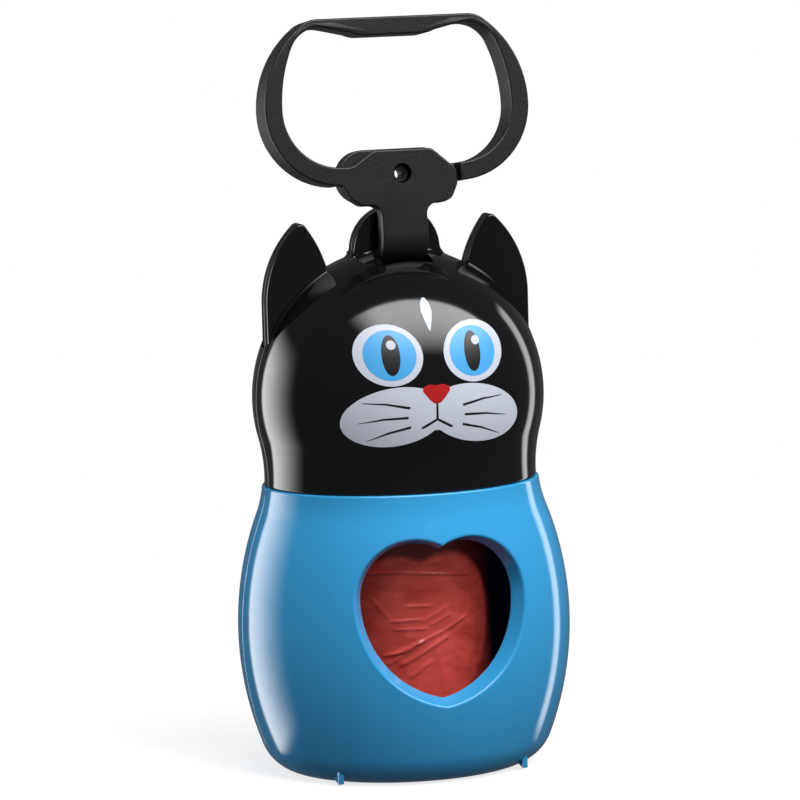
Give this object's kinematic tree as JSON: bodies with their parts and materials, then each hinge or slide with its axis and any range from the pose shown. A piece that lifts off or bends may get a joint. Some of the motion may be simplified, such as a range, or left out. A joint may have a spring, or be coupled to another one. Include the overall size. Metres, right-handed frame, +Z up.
{
  "type": "pet waste bag dispenser",
  "caption": "Cat-shaped two-part plastic case that holds a roll of waste bags behind a heart window, with a soft carrying strap that clasps shut.",
  "frame": {"origin": "centre of the case's base, on the surface it stands on", "axes": "+Z up, the face and the window look along -Y, +X is the viewer's right from the front"},
  "size_m": [0.0574, 0.0479, 0.128],
  "materials": {
    "case_blue": "gloss",
    "case_black": "gloss",
    "bag_film": "satin",
    "core_card": "matte",
    "strap_black": "matte"
  },
  "bodies": {
    "base": {"body_front_shell": "case_blue", "body_rear_shell": "case_blue"},
    "head": {"head_front_shell": "case_black", "head_rear_shell": "case_black"},
    "roll": {"bag_roll": "bag_film", "roll_core": "core_card"},
    "strap": {"strap": "strap_black"},
    "strap_tail": {"strap_tail": "strap_black"}
  },
  "joints": [
    {"name": "head_lift", "type": "slide", "parent": "base", "child": "head", "axis": [0, 0, 1], "range_m": [0, 0.025]},
    {"name": "roll_spin", "type": "hinge", "parent": "base", "child": "roll", "pos_m": [0, 0, 0.03], "axis": [0, 0, 1], "continuous": true},
    {"name": "strap_swing", "type": "hinge", "parent": "head", "child": "strap", "pos_m": [0, 0, 0.0873], "axis": [1, 0, 0], "range_deg": [-5, 25]},
    {"name": "clasp_open", "type": "hinge", "parent": "strap", "child": "strap_tail", "pos_m": [-0.02165, -0.00121, 0.11354], "axis": [0, 0.1219, 0.9925], "range_deg": [0, 35]}
  ]
}
